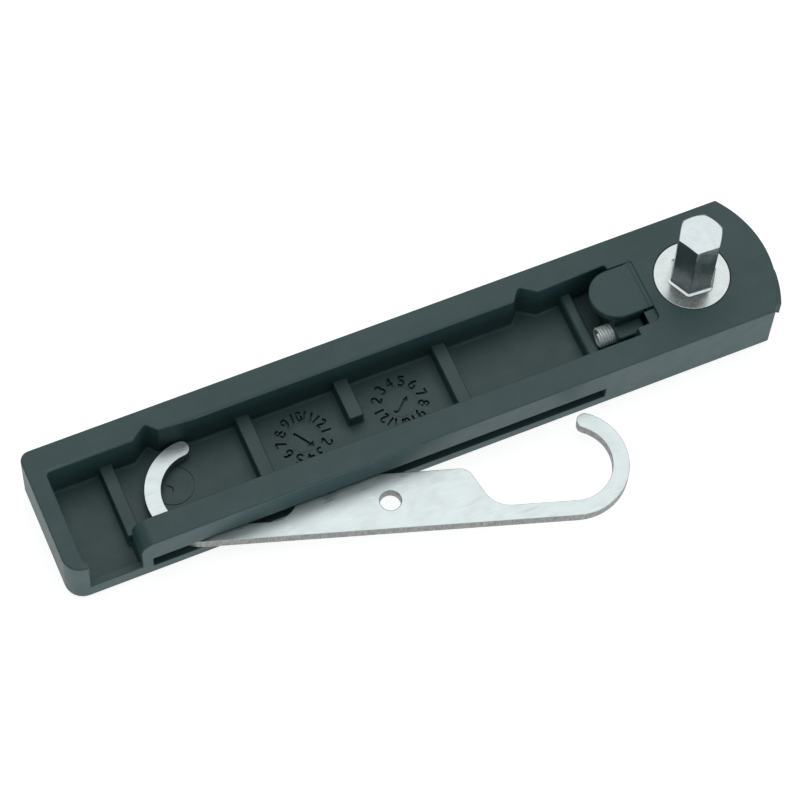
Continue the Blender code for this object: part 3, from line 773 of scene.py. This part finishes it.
def blade_half_outline():
    hook = (HOOK_CENTRE, HOOK_OUTER_RADIUS)
    middle = (HOOK_OUTER_RADIUS + HOOK_INNER_RADIUS) / 2
    tip_radius = (HOOK_OUTER_RADIUS - HOOK_INNER_RADIUS) / 2
    tip = polar(hook, middle, HOOK_TIP_ANGLE)
    foot = (BLADE_BODY_FOOT, BLADE_ARM_WIDTH)
    corner = (BLADE_BODY_CORNER, BLADE_BODY_WIDTH)
    points = arc(hook, HOOK_OUTER_RADIUS, -90, HOOK_TIP_ANGLE, 56)
    points += arc(tip, tip_radius, HOOK_TIP_ANGLE, HOOK_TIP_ANGLE + 180, 12)[1:-1]
    points += arc(hook, HOOK_INNER_RADIUS, HOOK_TIP_ANGLE, -90, 48)
    points += rounded((HOOK_CENTRE, BLADE_ARM_WIDTH), foot, corner, BLADE_BODY_FOOT_RADIUS, 14)
    points += rounded(foot, corner, (0, BLADE_BODY_WIDTH), BLADE_BODY_CORNER_RADIUS, 12)
    return points


def swung(u, v):
    """A point of the stowed blade, turned about the pivot to where the blade rests."""
    x = u + station(BLADE_STOWED_X) - station(BLADE_PIVOT_X)
    y = v + BLADE_STOWED_Y - BLADE_PIVOT_Y
    a = radians(BLADE_REST_ANGLE)
    return (station(BLADE_PIVOT_X) + x * cos(a) - y * sin(a), BLADE_PIVOT_Y + x * sin(a) + y * cos(a))


def make_blade(materials):
    half = blade_half_outline()
    outline = [swung(u, v) for u, v in half + [(-u, v) for u, v in reversed(half)]]
    blade = loft("hook_blade_plate", outline, slab(BLADE_LOW, BLADE_HIGH, *BLADE_EDGES, 4))
    hole = [swung(u, v) for u, v in arc((0, BLADE_HOLE_INSET), BLADE_HOLE_RADIUS, 0, 360, 64)]
    profile = [(HOLE_LOW_EDGE, BLADE_LOW - 1)] + foot_edge(HOLE_LOW_EDGE, BLADE_LOW, 1, 2)
    profile += top_edge(HOLE_TOP_EDGE, BLADE_HIGH, 1) + [(HOLE_TOP_EDGE, BLADE_HIGH + 1)]
    combine(blade, [loft("hole", hole, profile)])
    finish(blade, "blade", ["hook_blade"], materials, sheared_face)


# The post and its fittings


def hexagon_bar():
    """The post above the handle, with turned chamfers at both ends and a slight flare at its foot."""
    x = station(POST_X)
    flat = POST_FLATS / 2
    low, top = POST_LOW_Z, POST_TOP_Z
    corners = arc((x, 0), flat / cos(pi / 6), POST_REST_ANGLE, POST_REST_ANGLE + 360, 6)[:-1]
    foot = WASHER_Z[1] + 0.05
    profile = [(POST_FOOT, foot), (POST_FOOT, foot + 0.1), (0.02, foot + 0.2), (0, foot + 0.28), (0, top)]
    hexagon = loft("hexagon", rounded_polygon(corners, POST_EDGE, 4), profile)
    wide = flat + 3 * POST_CHAMFER
    crown = flat - 0.1
    turning = [(0, top + 1), (crown, top + 1), (crown, top + 0.02), (wide, top - 1.1 * POST_CHAMFER),
               (wide, low - 1), (0, low - 1)]
    return combine(hexagon, [turned("chamfer", turning, x, 0, 144)], "INTERSECT")


def lock_notches():
    x = station(POST_X)
    inner, outer, half = SHANK_RADIUS - LOCK_NOTCH_DEPTH, SHANK_RADIUS + 1, LOCK_NOTCH_WIDTH / 2
    for notch in range(LOCK_NOTCHES):
        angle = 2 * pi * notch / LOCK_NOTCHES
        square = [(x + u * cos(angle) - v * sin(angle), u * sin(angle) + v * cos(angle))
                  for u, v in rectangle(inner, outer, -half, half)]
        yield loft("notch", square, [(0, LOCK_Z[0] - 0.5), (0, LOCK_Z[1])])


def make_post(materials):
    hexagon = hexagon_bar()
    inside = POST_LOW_Z + 1
    shank = [(0, inside), (SHANK_RADIUS, inside), (SHANK_RADIUS, LOCK_Z[0] + SHANK_CHAMFER),
             (SHANK_RADIUS - SHANK_CHAMFER, LOCK_Z[0]), (JOURNAL_RADIUS, LOCK_Z[0]),
             (JOURNAL_RADIUS, CLIP_GROOVE_Z[1]), (GROOVE_RADIUS, CLIP_GROOVE_Z[1]),
             (GROOVE_RADIUS, CLIP_GROOVE_Z[0]), (JOURNAL_RADIUS, CLIP_GROOVE_Z[0]),
             (JOURNAL_RADIUS, JOURNAL_END_Z + JOURNAL_CHAMFER),
             (JOURNAL_RADIUS - JOURNAL_CHAMFER, JOURNAL_END_Z), (0, JOURNAL_END_Z)]
    post = turned("hexagon_post", shank, station(POST_X))
    combine(post, lock_notches())
    combine(post, [hexagon], "UNION")
    finish(post, "post", ["hex_post"], materials, angle=22)


def clip_outline():
    """An E-clip: an open ring with three lobes that bear on the groove."""
    centre = (station(POST_X), 0)
    outer_mouth, inner_mouth = CLIP_MOUTH
    outer = arc(centre, CLIP_RADIUS, -90 + outer_mouth, 270 - outer_mouth, 60)
    inner = []
    steps = 90
    for i in range(steps + 1):
        angle = 270 - inner_mouth - (360 - 2 * inner_mouth) * i / steps
        from_lobe = min(abs((angle - lobe + 180) % 360 - 180) for lobe in CLIP_LOBES)
        relief = min(1, max(0, (from_lobe - CLIP_LOBE_ANGLE) / CLIP_LOBE_SLOPE))
        inner.append(polar(centre, CLIP_LOBE_RADIUS + CLIP_RELIEF * relief, angle))
    return outer + inner


def make_fittings(plated_steel, dull_steel, blackened):
    x = station(POST_X)
    section = ring_profile(SHANK_RADIUS + SHANK_GAP, WASHER_RADIUS, *WASHER_Z, WASHER_EDGE)
    washer = turned("top_washer", section, x, 0, 128)
    finish(washer, "handle", ["post_washer"], [plated_steel])
    section = ring_profile(JOURNAL_RADIUS + JOURNAL_GAP, BACK_WASHER_RADIUS, *BACK_WASHER_Z,
                           BACK_WASHER_EDGE)
    back = turned("thrust_washer", section, x)
    finish(back, "post", ["back_washer"], [dull_steel])
    clip = loft("snap_clip", clip_outline(), slab(*CLIP_Z, CLIP_EDGE, CLIP_EDGE, 2))
    finish(clip, "post", ["retaining_clip"], [blackened])


# The latch


def latch_pad():
    """The pad, with its round end to the trough and a thin tongue at the other."""
    radius = (PAD_FAR_Y - PAD_NEAR_Y) / 2
    centre = (station(PAD_START) + radius, (PAD_NEAR_Y + PAD_FAR_Y) / 2)
    end = station(PAD_END)
    outline = arc(centre, radius, 90, 270, 40)
    outline += rounded((0, PAD_NEAR_Y), (end, PAD_NEAR_Y), (end, 0), PAD_CORNER_RADIUS, 5)
    outline += rounded((end, 0), (end, PAD_FAR_Y), (0, PAD_FAR_Y), PAD_CORNER_RADIUS, 5)
    pad = loft("thumb_latch", outline, slab(PAD_LOW_Z, HANDLE_HEIGHT, *PAD_EDGES, 5))
    under = rectangle(station(PAD_TONGUE_START), end + 1, PAD_NEAR_Y - 1, PAD_FAR_Y + 1)
    return combine(pad, [loft("tongue_cut", under, [(0, PAD_LOW_Z - 1), (0, PAD_TONGUE_Z)])])


def latch_nose():
    start, tip = station(STEM_END) - 1, station(NOSE_TIP_END)
    half, point = NOSE_WIDTH / 2, NOSE_TIP_WIDTH / 2
    narrow = tip - NOSE_TIP_LENGTH
    wide = narrow - NOSE_SLOPE_LENGTH
    outline = [(start, -half), (wide, -half), (narrow, -point), (tip, -point),
               (tip, point), (narrow, point), (wide, half), (start, half)]
    return loft("nose", outline, slab(*NOSE_Z, NOSE_EDGE, NOSE_EDGE, 2))


def make_latch(materials):
    pad = latch_pad()
    low, inset = STEM_LOW_Z, 0.05
    start, end = station(STEM_START), station(STEM_END)
    stem = rounded_polygon(rectangle(start, end, STEM_NEAR_Y, STEM_FAR_Y), 0.3, 4)
    housing = rectangle(start + inset, end - inset, HOUSING_NEAR_Y, 0.0)
    housing = rounded_polygon(housing, 0.5, 4)
    combine(pad, [
        loft("stem", stem, [(-0.1, low), (0, low + 0.1), (0, PAD_LOW_Z + 0.3)]),
        loft("housing", housing, slab(low, HOUSING_TOP_Z, 0.1, 0.35, 4)),
        latch_nose(),
    ], "UNION")
    bore = arc((SPRING_Y, SPRING_Z), SPRING_RADIUS + SPRING_BORE_GAP, 0, 360, 48)[:-1]
    bore_ends = (start - 1, station(SPRING_END) + 0.2)
    combine(pad, [along_x("spring_bore", [(x, bore) for x in bore_ends])])
    # the pad's rounded upper rims get the lighter nylon, a painted highlight
    finish(pad, "latch", ["latch_tab"], materials, burnished_rim)


def spring_path():
    """The middle of the wire: closed turns at the start, open ones, and one closed turn at the end."""
    start, end = station(SPRING_START) + SPRING_WIRE_RADIUS, station(SPRING_END) - SPRING_WIRE_RADIUS
    mean = SPRING_RADIUS - SPRING_WIRE_RADIUS
    last = SPRING_TURNS - 1
    open_length = end - start - SPRING_CLOSED_PITCH * (SPRING_CLOSED_TURNS + 1)
    path = []
    for i in range(SPRING_TURNS * SPRING_STEPS + 1):
        turn = i / SPRING_STEPS
        if turn < SPRING_CLOSED_TURNS:
            x = start + SPRING_CLOSED_PITCH * turn
        elif turn > last:
            x = end - SPRING_CLOSED_PITCH * (SPRING_TURNS - turn)
        else:
            share = (turn - SPRING_CLOSED_TURNS) / (last - SPRING_CLOSED_TURNS)
            x = start + SPRING_CLOSED_PITCH * SPRING_CLOSED_TURNS + open_length * share
        angle = 2 * pi * turn + pi / 2
        path.append(Vector((x, SPRING_Y + mean * cos(angle), SPRING_Z + mean * sin(angle))))
    return path


def make_spring(material):
    """A compression spring, swept as a round wire."""
    path = spring_path()
    angles = [2 * pi * k / SPRING_SIDES for k in range(SPRING_SIDES)]
    rings = []
    for i, point in enumerate(path):
        along = (path[min(i + 1, len(path) - 1)] - path[max(i - 1, 0)]).normalized()
        outward = Vector((0, point.y - SPRING_Y, point.z - SPRING_Z)).normalized()
        across = along.cross(outward).normalized()
        outward = across.cross(along)
        rings.append([point + (outward * cos(a) + across * sin(a)) * SPRING_WIRE_RADIUS for a in angles])
    spring = skinned("coil_spring", rings)
    finish(spring, "handle", ["latch_spring"], [material], angle=60)
    station(SPRING_START) * MM
    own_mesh(spring)


# The studio


def make_floor():
    bm = bmesh.new()
    bmesh.ops.create_grid(bm, x_segments=1, y_segments=1, size=1.5)
    floor = add_object("studio_floor", bm)
    floor.location.z = -FLOOR_DROP
    m = Nodes("studio_paper", (0.86, 0.86, 0.86), 0.9)
    m.shader.inputs["Specular IOR Level"].default_value = 0.0
    m.shader.inputs["Emission Color"].default_value = (1, 1, 1, 1)
    m.shader.inputs["Emission Strength"].default_value = FLOOR_GLOW
    m.tint(m.noise(0.02, 3.0), (0.4, 0.405, 0.41), (0.43, 0.43, 0.43))
    floor.data.materials.append(m.material)


def area_light(name, place, size, power, colour):
    """A round lamp aimed at the middle of the handle."""
    light = bpy.data.lights.new(name, "AREA")
    light.shape = "DISK"
    light.size = size
    light.energy = power
    light.color = colour
    lamp = bpy.data.objects.new(name, light)
    bpy.context.scene.collection.objects.link(lamp)
    lamp.location = place
    lamp.rotation_euler = (-Vector(place)).to_track_quat("-Z", "Y").to_euler()


def make_world():
    """A pale sky that is brightest at low elevations."""
    world = bpy.data.worlds.new("studio")
    world.use_nodes = True
    tree = world.node_tree
    background = tree.nodes["Background"]
    background.inputs["Color"].default_value = WORLD_COLOUR
    place = tree.nodes.new("ShaderNodeTexCoord").outputs["Generated"]
    split = tree.nodes.new("ShaderNodeSeparateXYZ")
    fade = tree.nodes.new("ShaderNodeMapRange")
    set_range(fade, WORLD_FADE)
    tree.links.new(place, split.inputs["Vector"])
    tree.links.new(split.outputs["Z"], fade.inputs["Value"])
    tree.links.new(fade.outputs["Result"], background.inputs["Strength"])
    bpy.context.scene.world = world


def make_camera():
    camera = bpy.data.cameras.new("photo_view")
    camera.lens = CAMERA_LENS
    camera.sensor_width = CAMERA_SENSOR
    camera.clip_start = 0.01
    view = bpy.data.objects.new("photo_view", camera)
    bpy.context.scene.collection.objects.link(view)
    view.location = CAMERA_PLACE
    view.rotation_euler = [radians(angle) for angle in CAMERA_TURN]
    bpy.context.scene.camera = view


def make_studio():
    make_floor()
    make_world()
    for name, values in LAMPS.items():
        area_light(name, *values)
    make_camera()
    bpy.context.scene.view_settings.view_transform = "Standard"


def main():
    nylon = moulded("moulded_nylon", (0.0225, 0.058, 0.060), (0.031, 0.071, 0.074), 0.5)
    # Nylon for the upper rims: its lighter colour is a painted highlight, and its lower roughness and
    # finer grain make it glossier
    rim_highlight_nylon = moulded("nylon_painted_rim_highlight", (0.027, 0.063, 0.066), (0.035, 0.074, 0.078), 0.42, 0.006)
    sheet = satin_steel("satin_steel", (0.46, 0.51, 0.515), (0.52, 0.565, 0.57), 0.34,
                        BLADE_REST_ANGLE)
    torn = sheared_edge("sheared_edge", (0.2, 0.21, 0.205), (0.34, 0.35, 0.34))
    nickel = plated("nickel_plate", (0.40, 0.44, 0.45), (0.445, 0.48, 0.49), 0.2)
    bright = plated("bright_washer", (0.425, 0.45, 0.45), (0.47, 0.5, 0.5), 0.25)
    dull = satin_steel("dull_washer", (0.5, 0.52, 0.53), (0.62, 0.64, 0.65), 0.38, 15)
    black = plated("oil_black", (0.06, 0.06, 0.065), (0.1, 0.1, 0.105), 0.35)
    wire = plated("spring_wire", (0.86, 0.92, 0.93), (0.93, 0.97, 0.98), 0.4, 0.25)
    bronze = satin_steel("sintered_bronze", (0.42, 0.27, 0.12), (0.55, 0.38, 0.18), 0.45, 0)
    make_handle([nylon, rim_highlight_nylon])
    make_blade([sheet, torn])
    make_post([nickel])
    make_fittings(bright, dull, black)
    make_latch([nylon, rim_highlight_nylon])
    make_spring(wire)
    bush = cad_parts["post_bush"]
    for material_slot in bush.material_slots:
        material_slot.material = bronze
    make_studio()


main()
